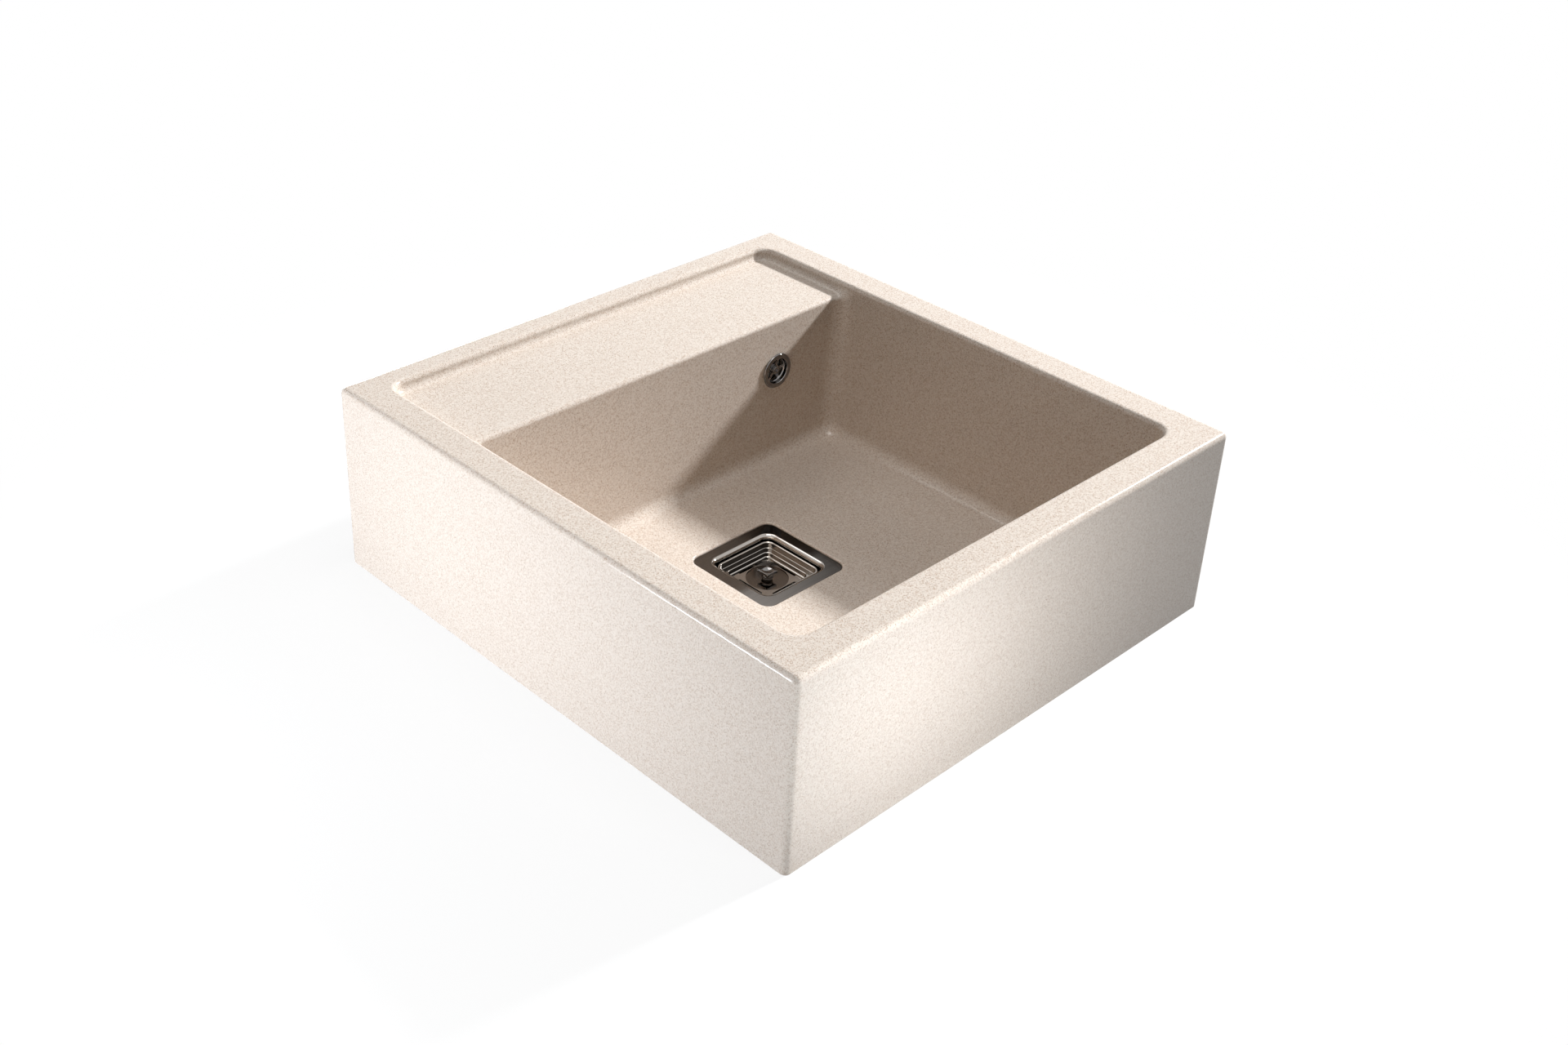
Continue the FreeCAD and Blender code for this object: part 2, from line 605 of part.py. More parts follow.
def fixing_screw():
    # A hollow screw: the basket's stem slides in its bore.
    top = SCREW_SEAT_Z + SCREW_HEAD_HEIGHT
    head = cylinder(SCREW_HEAD, SCREW_SEAT_Z, top)
    shank = cylinder(SCREW_DIAMETER, SCREW_END_Z, SCREW_SEAT_Z)
    socket = hexagon(SCREW_SOCKET, top - SCREW_SOCKET_DEPTH, top + OVERCUT)
    bore = cylinder(STEM_BORE, STEM_END_Z - BORE_RELIEF, top)
    return at_drain(head.fuse(shank).cut(socket).cut(bore))


# Lift-out basket

def slot_cutters():
    reach = BASKET_LOWER / 2 - BASKET_SHEET - SLOT_INSET
    low = DISH_UNDER_Z - OVERCUT
    high = BASKET_FLOOR_Z + SAME
    corner = Vector(reach - SLOT_WIDTH / 2, -SLOT_LENGTH / 2, low)
    bar = Part.makeBox(SLOT_WIDTH, SLOT_LENGTH, high - low, corner)
    return quarter_turns(bar.makeFillet(SLOT_END_SHARE * SLOT_WIDTH, upright_edges(bar)))


def basket_form(inset):
    # The pressed form of the basket, seen from outside, or from inside when inset by the sheet.
    floor = BASKET_FLOOR_Z - BASKET_SHEET + inset
    step = BASKET_STEP_Z - BASKET_SHEET + inset
    corner = BASKET_CORNER - inset
    upper = rounded_square(BASKET_UPPER - 2 * inset, corner, step, BASKET_RIM_Z)
    lower = rounded_square(BASKET_LOWER - 2 * inset, BASKET_LOWER_CORNER - inset, floor, step)
    lower = lower.makeFillet(BASKET_FLOOR_RADIUS + BASKET_SHEET - inset, level_edges(lower, floor))
    dish = cylinder(DISH_DIAMETER + 2 * (BASKET_SHEET - inset), floor - DISH_DEPTH, floor)
    return upper.multiFuse([lower, dish])


def strainer_basket():
    bead = rounded_square(BASKET_RIM, BASKET_CORNER + BASKET_LIP, BASKET_RIM_Z - BASKET_BEAD, BASKET_RIM_Z)
    body = basket_form(0).fuse(bead)
    space = basket_form(BASKET_SHEET)
    mouth = rounded_square(BASKET_UPPER - 2 * BASKET_SHEET, BASKET_CORNER - BASKET_SHEET,
                           BASKET_RIM_Z - BASKET_BEAD, BASKET_RIM_Z + OVERCUT)
    body = body.cut(space.fuse(mouth))
    body = body.makeFillet(BEAD_EDGE_SHARE * BASKET_BEAD, level_edges(body, BASKET_RIM_Z))
    body = body.makeFillet(BASKET_STEP_RADIUS, level_edges(body, BASKET_STEP_Z))
    hole = cylinder(STEM_STUD + 2 * HOLE_GAP, DISH_UNDER_Z - OVERCUT, BASKET_FLOOR_Z)
    for cutter in slot_cutters():
        body = body.cut(cutter)
    return at_drain(body.cut(hole))


def knob_head(low, high):
    # A square plate whose four sides curve inwards.
    half = KNOB_SIZE / 2
    waist = half - KNOB_HOLLOW
    side = Part.Arc(Vector(half, -half, low), Vector(waist, 0, low), Vector(half, half, low)).toShape()
    return Part.Face(Part.Wire(quarter_turns(side))).extrude(Vector(0, 0, high - low))


def knob_post(low, high):
    # A post that swells to a barrel under the head and narrows to its foot.
    foot = Vector(KNOB_FOOT / 2, 0, low)
    barrel = Vector(KNOB_BARREL / 2, 0, low + KNOB_BARREL_SHARE * (high - low))
    neck = Vector(KNOB_NECK / 2, 0, high)
    side = Part.Arc(foot, barrel, neck).toShape()
    lines = [Part.makeLine(Vector(0, 0, low), foot), side, Part.makeLine(neck, Vector(0, 0, high)),
             Part.makeLine(Vector(0, 0, high), Vector(0, 0, low))]
    return Part.Face(Part.Wire(lines)).revolve(Vector(0, 0, 0), Vector(0, 0, 1), 360)


def knob_dish(top):
    # The shallow round hollow in the head's upper face.
    half = KNOB_DISH / 2
    radius = (half ** 2 + KNOB_DISH_DEPTH ** 2) / (2 * KNOB_DISH_DEPTH)
    return Part.makeSphere(radius, Vector(0, 0, top - KNOB_DISH_DEPTH + radius))


def basket_knob():
    top = DISH_Z + KNOB_HEIGHT
    head = knob_head(top - KNOB_HEAD, top)
    body = head.fuse(knob_post(DISH_Z, top - KNOB_HEAD))
    body = body.makeFillet(KNOB_EDGE_SHARE * KNOB_HEAD, level_edges(body, top))
    stud_hole = cylinder(STEM_STUD + 2 * THREAD_GAP, DISH_Z - OVERCUT, DISH_Z + STEM_STUD_LENGTH + HOLE_GAP)
    return at_drain(body.cut(knob_dish(top)).cut(stud_hole))


def basket_stem():
    # A thin stud up through the basket into the knob, a collar under the basket and a guide below.
    radius = STEM_DIAMETER / 2
    stud = STEM_STUD / 2
    collar = STEM_COLLAR / 2
    groove = STEM_END_Z + RING_SETBACK
    root = radius - RING_SECTION
    points = [(0, STEM_END_Z), (radius - STEM_CHAMFER, STEM_END_Z), (radius, STEM_END_Z + STEM_CHAMFER),
              (radius, groove), (root, groove), (root, groove + RING_SECTION),
              (radius, groove + RING_SECTION), (radius, SEAL_PLATE_Z), (collar, SEAL_PLATE_Z),
              (collar, DISH_UNDER_Z), (stud, DISH_UNDER_Z),
              (stud, DISH_Z + STEM_STUD_LENGTH), (0, DISH_Z + STEM_STUD_LENGTH)]
    return at_drain(revolved(points))


def stem_ring():
    # A round-section ring in the stem's groove, which grips the screw's bore.
    section = RING_SECTION / 2
    ring = Part.makeTorus(STEM_DIAMETER / 2 - section, section)
    ring.translate(Vector(0, 0, STEM_END_Z + RING_SETBACK + section))
    return at_drain(ring)


def seal_plate():
    return at_drain(tube(SEAL_PLATE, STEM_DIAMETER + 2 * HOLE_GAP, STOPPER_TOP_Z, SEAL_PLATE_Z))


def basket_seal():
    # A rubber stopper whose lip comes down round the cup's outlet.
    lip_end = CUP_FLOOR_Z + STOPPER_GAP
    edge = STOPPER_DIAMETER / 2
    hole = STEM_DIAMETER / 2 + HOLE_GAP
    shoulder = SEAL_PLATE / 2
    under = NUT_TOP_Z
    points = [(hole, STOPPER_TOP_Z), (shoulder, STOPPER_TOP_Z), (edge, lip_end + STOPPER_LIP),
              (edge, lip_end), (edge - STOPPER_LIP, lip_end), (shoulder - STOPPER_LIP, under),
              (hole, under)]
    return at_drain(revolved(points))


def stem_nut():
    nut = hexagon(NUT_SIZE, NUT_TOP_Z - NUT_HEIGHT, NUT_TOP_Z)
    thread = cylinder(STEM_DIAMETER + 2 * THREAD_GAP, NUT_TOP_Z - NUT_HEIGHT - OVERCUT, NUT_TOP_Z + OVERCUT)
    return at_drain(nut.cut(thread))


# Overflow

def overflow_cover():
    rim = COVER_DIAMETER / 2
    dish = COVER_DISH / 2
    wall = dish + COVER_SHEET
    boss = COVER_BOSS / 2
    back = COVER_FLOOR + COVER_SHEET
    hole = COVER_SCREW / 2 + HOLE_GAP
    points = [(hole, COVER_SEAT), (boss, COVER_SEAT), (boss, COVER_FLOOR), (dish, COVER_FLOOR),
              (dish, COVER_FRONT), (rim, COVER_FRONT), (rim, -FRONT_SEAL), (wall, -FRONT_SEAL),
              (wall, back), (hole, back)]
    body = revolved(points)
    body = body.makeFillet(COVER_EDGE_RADIUS, level_edges(body, COVER_FRONT))
    cove = [edge for edge in level_edges(body, COVER_FLOOR) if edge.BoundBox.XLength > COVER_BOSS + SAME]
    body = body.makeFillet(COVER_DISH_RADIUS, cove)
    outer = COVER_DISH - 2 * WINDOW_MARGIN
    inner = COVER_BOSS + 2 * WINDOW_MARGIN
    windows = tube(outer, inner, COVER_FLOOR - COVER_DISH_RADIUS, back + OVERCUT)
    bars = spokes(WINDOW_COUNT, WINDOW_SPOKE, outer, COVER_FLOOR - OVERCUT, back + 2 * OVERCUT)
    return at_overflow(body.cut(windows.cut(bars)))


def overflow_screw():
    front = COVER_SEAT - COVER_SCREW_HEAD_HEIGHT
    head = cylinder(COVER_SCREW_HEAD, front, COVER_SEAT)
    head = head.makeFillet(COVER_SCREW_EDGE_SHARE * COVER_SCREW_HEAD_HEIGHT, level_edges(head, front))
    shank = cylinder(COVER_SCREW, COVER_SEAT, ELBOW_HUB_END)
    socket = hexagon(COVER_SOCKET, front - OVERCUT, front + COVER_SOCKET_DEPTH)
    return at_overflow(head.fuse(shank).cut(socket))


def overflow_front_seal():
    return at_overflow(tube(COVER_DIAMETER - 2 * COVER_SHEET, OVERFLOW_HOLE, -FRONT_SEAL, 0))


def overflow_rear_seal():
    return at_overflow(tube(ELBOW_FLANGE, OVERFLOW_HOLE, WALL, ELBOW_SEAT))


def elbow_tail():
    tail = hose_spigot(ELBOW_DIAMETER / 2)
    tail.translate(Vector(0, 0, ELBOW_DIAMETER / 2))
    tail.rotate(Vector(0, 0, 0), Vector(1, 0, 0), -90)
    tail.translate(Vector(0, 0, ELBOW_TAIL))
    return tail


def overflow_elbow():
    flange = cylinder(ELBOW_FLANGE, ELBOW_SEAT, ELBOW_SEAT + ELBOW_FLANGE_THICKNESS)
    drum = cylinder(ELBOW_DIAMETER, ELBOW_SEAT, ELBOW_BACK)
    drum = drum.makeFillet(2 * ELBOW_WALL, level_edges(drum, ELBOW_BACK))
    body = flange.multiFuse([drum, elbow_tail()])
    inside = cylinder(ELBOW_BORE, ELBOW_SEAT - OVERCUT, ELBOW_BACK - ELBOW_WALL)
    inside = inside.makeFillet(ELBOW_WALL, level_edges(inside, ELBOW_BACK - ELBOW_WALL))
    reach = ELBOW_DIAMETER / 2 + SPIGOT_LENGTH + OVERCUT
    tail_bore = Part.makeCylinder(SPIGOT_BORE / 2, reach, Vector(0, 0, ELBOW_TAIL), Vector(0, 1, 0))
    body = body.cut(inside).cut(tail_bore)
    hub = cylinder(ELBOW_HUB, ELBOW_SEAT, ELBOW_HUB_END)
    bars = spokes(SPOKE_COUNT, ELBOW_SPOKE, ELBOW_BORE / 2 + ELBOW_WALL / 2, ELBOW_SEAT,
                  ELBOW_SEAT + ELBOW_SPOKE_LENGTH)
    bore = cylinder(COVER_INSERT + 2 * THREAD_GAP, ELBOW_SEAT - OVERCUT, ELBOW_HUB_END + OVERCUT)
    return at_overflow(body.multiFuse([hub, bars]).cut(bore).removeSplitter())


def overflow_insert():
    return at_overflow(tube(COVER_INSERT, COVER_SCREW + 2 * THREAD_GAP, ELBOW_SEAT, ELBOW_HUB_END))


NODES = {
    "sink_body": sink_body,
    "strainer_body": strainer_body,
    "flange_seal": flange_seal,
    "lower_seal": lower_seal,
    "waste_housing": waste_housing,
    "housing_insert": housing_insert,
    "screw_washer": screw_washer,
    "fixing_screw": fixing_screw,
    "strainer_basket": strainer_basket,
    "basket_knob": basket_knob,
    "basket_stem": basket_stem,
    "stem_ring": stem_ring,
    "seal_plate": seal_plate,
    "basket_seal": basket_seal,
    "stem_nut": stem_nut,
    "overflow_cover": overflow_cover,
    "overflow_screw": overflow_screw,
    "overflow_front_seal": overflow_front_seal,
    "overflow_rear_seal": overflow_rear_seal,
    "overflow_elbow": overflow_elbow,
    "overflow_insert": overflow_insert,
}


def main():
    os.makedirs("parts", exist_ok=True)
    for name, make in NODES.items():
        make().exportStep(os.path.join("parts", name + ".step"))


main()
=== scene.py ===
import json
import math

import bpy
from mathutils import Euler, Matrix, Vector


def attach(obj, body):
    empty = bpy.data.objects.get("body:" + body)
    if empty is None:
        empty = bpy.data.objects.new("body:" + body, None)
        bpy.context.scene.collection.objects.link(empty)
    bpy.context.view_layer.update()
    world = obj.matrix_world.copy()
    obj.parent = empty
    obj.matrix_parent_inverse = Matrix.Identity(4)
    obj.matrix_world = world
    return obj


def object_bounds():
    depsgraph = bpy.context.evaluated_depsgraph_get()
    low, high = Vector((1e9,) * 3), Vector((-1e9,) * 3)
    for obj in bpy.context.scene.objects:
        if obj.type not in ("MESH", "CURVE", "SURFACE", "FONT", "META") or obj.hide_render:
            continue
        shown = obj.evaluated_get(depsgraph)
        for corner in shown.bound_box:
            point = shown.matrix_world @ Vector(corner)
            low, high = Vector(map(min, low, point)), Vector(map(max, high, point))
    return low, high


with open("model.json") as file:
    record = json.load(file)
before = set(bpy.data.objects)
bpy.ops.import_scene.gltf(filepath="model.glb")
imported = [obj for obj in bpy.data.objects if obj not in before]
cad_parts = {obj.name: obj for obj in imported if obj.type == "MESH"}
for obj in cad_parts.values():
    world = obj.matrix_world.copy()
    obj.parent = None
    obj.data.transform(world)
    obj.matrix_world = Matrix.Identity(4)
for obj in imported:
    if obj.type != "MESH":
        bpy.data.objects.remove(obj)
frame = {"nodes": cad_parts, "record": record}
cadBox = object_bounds()
nodes = frame["nodes"]
mounts = {mount["name"]: mount for mount in frame["record"]["mounts"]}
drainY = mounts["waste_outlet"]["pos_m"][1]  # the drain's axis stands at x 0
scene = bpy.context.scene
scene.view_settings.view_transform = "Standard"
print("frame loaded with", len(nodes), "nodes")


class Wire:  # one socket of a node tree, so that sums on it add their own nodes
    def __init__(self, tree, socket=None):
        self.tree = tree
        self.socket = socket

    def node(self, kind, settings=None, inputs=None, out=0):
        made = self.tree.nodes.new(kind)
        for name, value in (settings or {}).items():
            setattr(made, name, value)
        for name, value in (inputs or {}).items():
            if isinstance(value, Wire):
                self.tree.links.new(value.socket, made.inputs[name])
            else:
                made.inputs[name].default_value = value
        return Wire(self.tree, made.outputs[out])

    def maths(self, operation, first, second):
        return self.node("ShaderNodeMath", {"operation": operation}, {0: first, 1: second})

    def __add__(self, other):
        return self.maths("ADD", self, other)

    def __sub__(self, other):
        return self.maths("SUBTRACT", self, other)

    def __rsub__(self, other):
        return self.maths("SUBTRACT", other, self)

    def __mul__(self, other):
        return self.maths("MULTIPLY", self, other)

    def __lt__(self, other):
        return self.maths("LESS_THAN", self, other)

    def __gt__(self, other):
        return self.maths("GREATER_THAN", self, other)

    def __abs__(self):
        return self.node("ShaderNodeMath", {"operation": "ABSOLUTE"}, {0: self})

    __radd__ = __add__
    __rmul__ = __mul__


def startMaterial(name, metallic=0.0):
    material = bpy.data.materials.new(name)
    material.use_nodes = True
    tree = material.node_tree
    tree.nodes.clear()
    shader = tree.nodes.new("ShaderNodeBsdfPrincipled")
    shader.inputs["Metallic"].default_value = metallic
    output = tree.nodes.new("ShaderNodeOutputMaterial")
    tree.links.new(shader.outputs[0], output.inputs[0])
    return material, shader, Wire(tree).node("ShaderNodeTexCoord", out="Object")


def feed(shader, wires):
    for name, wire in wires.items():
        wire.tree.links.new(wire.socket, shader.inputs[name])


def axes(place):
    split = place.node("ShaderNodeSeparateXYZ", inputs={0: place})
    return [Wire(place.tree, split.socket.node.outputs[axis]) for axis in "XYZ"]


def noise(place, scale, detail, out=0):
    sockets = {"Vector": place, "Scale": scale, "Detail": detail}
    return place.node("ShaderNodeTexNoise", inputs=sockets, out=out)


def drawnNoise(place, stretch, detail):  # noise drawn out along an axis, as brushing or turning leaves it
    return noise(place.node("ShaderNodeMapping", inputs={"Vector": place, "Scale": stretch}), 1.0, detail)


def mixColour(factor, low, high):  # 6, 7 and 2 are the colour sockets of a Mix node
    return factor.node("ShaderNodeMix", {"data_type": "RGBA"}, {0: factor, 6: low, 7: high}, 2)


def ranged(value, fromLow, fromHigh, toLow=0.0, toHigh=1.0):
    sockets = {"Value": value, "From Min": fromLow, "From Max": fromHigh, "To Min": toLow, "To Max": toHigh}
    return value.node("ShaderNodeMapRange", inputs=sockets)


noiseSpan = (0.3, 0.7)  # nearly all of a noise's values lie in here


def across(wave, low=0.0, high=1.0):
    return ranged(wave, *noiseSpan, low, high)


def bumped(height, strength, depth):
    sockets = {"Height": height, "Strength": strength, "Distance": depth}
    return height.node("ShaderNodeBump", inputs=sockets)


# in every look a noise is (scale per metre, detail) and a bump is (strength, depth in metres)

# quartz-filled resin: cream ground with uneven grains of three kinds
compositeLook = {
    "cream": (0.69, 0.608, 0.533, 1),
    "creamDeep": (0.63, 0.55, 0.475, 1),
    "cloud": (420, 3),
    "grains": [
        {"cell": 0.0011, "share": 0.42, "size": 0.70, "colour": (0.38, 0.225, 0.13, 1), "strength": 0.68},
        {"cell": 0.0013, "share": 0.24, "size": 0.55, "colour": (0.22, 0.12, 0.065, 1), "strength": 0.62},
        {"cell": 0.0012, "share": 0.34, "size": 0.56, "colour": (0.86, 0.79, 0.71, 1), "strength": 0.45},
    ],
    "grainCore": 0.3,  # share of a grain's radius that has its full colour
    "grainRelief": 0.3,
    "sway": (900, 2),
    "unevenness": 0.0009,
    "turn": (0.65, 0.41, 0.88),  # keeps the rows of cells off the flat faces
    "sheen": (260, 3),
    "roughness": (0.16, 0.24),
    "specular": 0.28,
    "tooth": (1400, 2),
    "bump": (0.14, 0.0001),
    "outerFade": (-0.003, -0.0005),  # from the outer faces inwards
    "litFaceGrainShare": 0.70,  # painted light: the grains show less on the outer faces, standing in for how their strong light washes the grains out
}


def grainMask(place, grain, core):
    sockets = {"Vector": place, "Scale": 1 / grain["cell"]}
    near = place.node("ShaderNodeTexVoronoi", inputs=sockets, out="Distance")
    tint = Wire(place.tree, near.socket.node.outputs["Color"])
    chance = tint.node("ShaderNodeSeparateColor", inputs={0: tint})
    spot = ranged(near, grain["size"], grain["size"] * core)
    return spot * (chance < grain["share"]) * grain["strength"]


def grainPlace(place, look):  # turned and shaken, so that no two grains have the same outline
    sway = noise(place, *look["sway"], out="Color")
    reach = (look["unevenness"],) * 3
    turned = place.node("ShaderNodeMapping", inputs={"Vector": place, "Rotation": look["turn"]})
    return place.node("ShaderNodeVectorMath", {"operation": "MULTIPLY_ADD"}, {0: sway, 1: reach, 2: turned})


def compositeMaterial(look):
    material, shader, place = startMaterial("quartzResin")
    shader.inputs["Specular IOR Level"].default_value = look["specular"]
    x, y, _ = axes(place)
    halfWidth, halfDepth, _ = cadBox[1]
    outward = x.maths("MAXIMUM", abs(x) - halfWidth, abs(y) - halfDepth)
    # painted light: the grains are weakened on the outer faces, where strong light washes them out
    shown = ranged(outward, *look["outerFade"], 1.0, look["litFaceGrainShare"])
    colour = mixColour(across(noise(place, *look["cloud"])), look["cream"], look["creamDeep"])
    relief = noise(place, *look["tooth"])
    grained = grainPlace(place, look)
    for grain in look["grains"]:
        mask = grainMask(grained, grain, look["grainCore"]) * shown
        colour = mixColour(mask, colour, grain["colour"])
        relief = relief + mask * look["grainRelief"]
    rough = across(noise(place, *look["sheen"]), *look["roughness"])
    feed(shader, {"Base Color": colour, "Roughness": rough, "Normal": bumped(relief, *look["bump"])})
    return material


# drawn steel, which both strainer pieces start from
steelLook = {
    "tone": (0.45, 0.42, 0.39, 1),
    "toneDeep": (0.39, 0.36, 0.33, 1),
    "brush": (24, 2600, 900),
    "brushDetail": 3,
    "streak": (0.35, 0.65),
    "sheen": (120, 3),
    "polish": (0.07, 0.12),
    "wave": (55, 2),
    "waveShare": 0.4,
    "bump": (0.10, 0.00003),
}


def startSteel(look, name):
    material, shader, place = startMaterial(name, metallic=1.0)
    x, y, z = axes(place)
    lines = drawnNoise(place, look["brush"], look["brushDetail"])
    streak = ranged(lines, *look["streak"])
    return material, shader, {
        "axes": (x, y - drainY, z),
        "lines": lines,
        "streak": streak,
        "colour": mixColour(streak, look["tone"], look["toneDeep"]),
        "polish": across(noise(place, *look["sheen"]), *look["polish"]),
        "relief": noise(place, *look["wave"]) * look["waveShare"],
    }


# brushed flange round the polished cup, with a painted reflection that darkens it to the right, where it
# mirrors less light
flangeLook = {
    "tone": (0.22, 0.197, 0.18, 1),
    # painted reflection: the flange darkens from tone to toneDeep over the span of x in fade
    "toneDeep": (0.042, 0.036, 0.031, 1),
    "fade": (-0.055, 0.040),
    "reflectionShadeShare": 0.8,  # share of the painted reflection; the rest of the blend follows the brush lines
    "satin": (0.07, 0.11),
    "rollHalf": 0.0443,  # where the flat flange ends and the roll into the cup starts
    "rollCorner": 0.013,
    "level": 0.0172,
}


def flangeMaterial(look, steel):
    material, shader, base = startSteel(steel, "strainerSteel")
    x, y, z = base["axes"]
    straight = look["rollHalf"] - look["rollCorner"]
    side = x.maths("MAXIMUM", abs(x) - straight, 0.0)
    along = y.maths("MAXIMUM", abs(y) - straight, 0.0)
    beyond = side * side + along * along > look["rollCorner"] ** 2
    flat = beyond * (z > look["level"])
    # painted reflection: darker to the right, mixed with the brush streaks
    shade = ranged(x, *look["fade"]) * look["reflectionShadeShare"] + base["streak"] * (1 - look["reflectionShadeShare"])
    brushedWithPaintedShade = mixColour(shade, look["tone"], look["toneDeep"])
    rough = across(base["lines"], *look["satin"]) * flat + base["polish"] * (1 - flat)
    relief = base["relief"] + base["lines"] * flat
    feed(shader, {
        "Base Color": mixColour(flat, base["colour"], brushedWithPaintedShade),
        "Roughness": rough,
        "Normal": bumped(relief, *steel["bump"]),
    })
    return material


# polished basket and its fittings, with painted shade on the basket's rear walls and on the dish round the
# knob
basketLook = {
    # painted shade: the basket's rear walls mirror little light
    "wall": (0.030, 0.025, 0.021, 1),
    "wallFrom": 0.024,  # from the drain's axis to the rear
    "mitre": 0.001,  # how far the rear walls' painted shade runs past the corners
    "floorLevel": 0.0026,
    "stepLevel": 0.0068,
    "stepHalf": 0.0003,  # the step between the two walls stays bright
    "rimLevel": 0.0126,
    # painted shade on the dish round the knob
    "dish": (0.17, 0.145, 0.125, 1),
    "dishRadius": 0.022,
    "dishDepth": 0.0022,
}


def basketMaterial(look, steel):
    material, shader, base = startSteel(steel, "polishedSteel")
    x, y, z = base["axes"]
    # painted shade on the rear walls, away from the floor, rim and step
    rear = (y > look["wallFrom"]) * (y > abs(x) - look["mitre"])
    upright = (z > look["floorLevel"]) * (z < look["rimLevel"])
    offStep = abs(z - look["stepLevel"]) > look["stepHalf"]
    colour = mixColour(rear * upright * offStep, base["colour"], look["wall"])
    # painted shade: the dish round the knob is darker than the basket floor
    low = abs(z - look["floorLevel"]) < look["dishDepth"]
    dish = (x * x + y * y < look["dishRadius"] ** 2) * low
    feed(shader, {
        "Base Color": mixColour(dish, colour, look["dish"]),
        "Roughness": base["polish"],
        "Normal": bumped(base["relief"], *steel["bump"]),
    })
    return material


chromeLook = {
    "tone": (0.26, 0.25, 0.245, 1),
    "toneDeep": (0.21, 0.20, 0.195, 1),
    "cloud": (240, 3),
    "roughness": (0.05, 0.10),
    "wave": (90, 2),
    "bump": (0.05, 0.00003),
}


def chromeMaterial(look):
    material, shader, place = startMaterial("chromePlate", metallic=1.0)
    cloud = noise(place, *look["cloud"])
    feed(shader, {
        "Base Color": mixColour(cloud, look["tone"], look["toneDeep"]),
        "Roughness": across(cloud, *look["roughness"]),
        "Normal": bumped(noise(place, *look["wave"]), *look["bump"]),
    })
    return material


rubberLook = {
    "black": (0.020, 0.020, 0.021, 1),
    "bloom": (0.050, 0.049, 0.047, 1),
    "bloomSpan": (0.45, 0.75),
    "cloud": (170, 4),
    "roughness": (0.52, 0.72),
    "tooth": (1500, 2),
    "bump": (0.2, 0.0001),
}


def rubberMaterial(look):
    material, shader, place = startMaterial("sealRubber")
    cloud = noise(place, *look["cloud"])
    feed(shader, {
        "Base Color": mixColour(ranged(cloud, *look["bloomSpan"]), look["black"], look["bloom"]),
        "Roughness": across(cloud, *look["roughness"]),
        "Normal": bumped(noise(place, *look["tooth"]), *look["bump"]),
    })
    return material


plasticLook = {
    "white": (0.74, 0.74, 0.72, 1),
    "flow": (0.67, 0.67, 0.645, 1),
    "flowStretch": (30, 30, 9),
    "flowDetail": 4,
    "roughness": (0.36, 0.50),
    "spark": (1300, 2),  # spark-eroded mould
    "bump": (0.22, 0.0001),
}


def plasticMaterial(look):
    material, shader, place = startMaterial("mouldedPlastic")
    flow = drawnNoise(place, look["flowStretch"], look["flowDetail"])
    spark = noise(place, *look["spark"])
    feed(shader, {
        "Base Color": mixColour(across(flow), look["white"], look["flow"]),
        "Roughness": across(spark, *look["roughness"]),
        "Normal": bumped(spark, *look["bump"]),
    })
    return material


brassLook = {
    "tone": (0.70, 0.50, 0.22, 1),
    "stain": (0.50, 0.34, 0.14, 1),
    "stainSpan": (0.4, 0.75),
    "cloud": (150, 4),
    "turning": (60, 60, 3000),
    "turningDetail": 2,
    "roughness": (0.18, 0.32),
    "bump": (0.15, 0.00005),
}


def brassMaterial(look):
    material, shader, place = startMaterial("turnedBrass", metallic=1.0)
    cloud = noise(place, *look["cloud"])
    turned = drawnNoise(place, look["turning"], look["turningDetail"])
    feed(shader, {
        "Base Color": mixColour(ranged(cloud, *look["stainSpan"]), look["tone"], look["stain"]),
        "Roughness": across(turned, *look["roughness"]),
        "Normal": bumped(turned, *look["bump"]),
    })
    return material


finishes = {
    "composite": compositeMaterial(compositeLook),
    "satin_steel": flangeMaterial(flangeLook, steelLook),
    "polished_steel": basketMaterial(basketLook, steelLook),
    "chrome": chromeMaterial(chromeLook),
    "seal_rubber": rubberMaterial(rubberLook),
    "white_plastic": plasticMaterial(plasticLook),
    "brass": brassMaterial(brassLook),
}
for part in frame["record"]["subparts"]:
    slots = nodes[part["node"]].data.materials
    slots.clear()
    slots.append(finishes[part["material_slot"]])
print("finishes set:", ", ".join(sorted(finishes)))

# pipe thread wound round the waste outlet
outletThread = {
    "radius": 0.02335,
    "ridge": 0.00085,
    "pitch": 0.00231,  # eleven turns to the inch
    "turns": 11.5,
    "lowZ": -0.0742,
    "turnSteps": 64,
    "ridgeSides": 4,
}


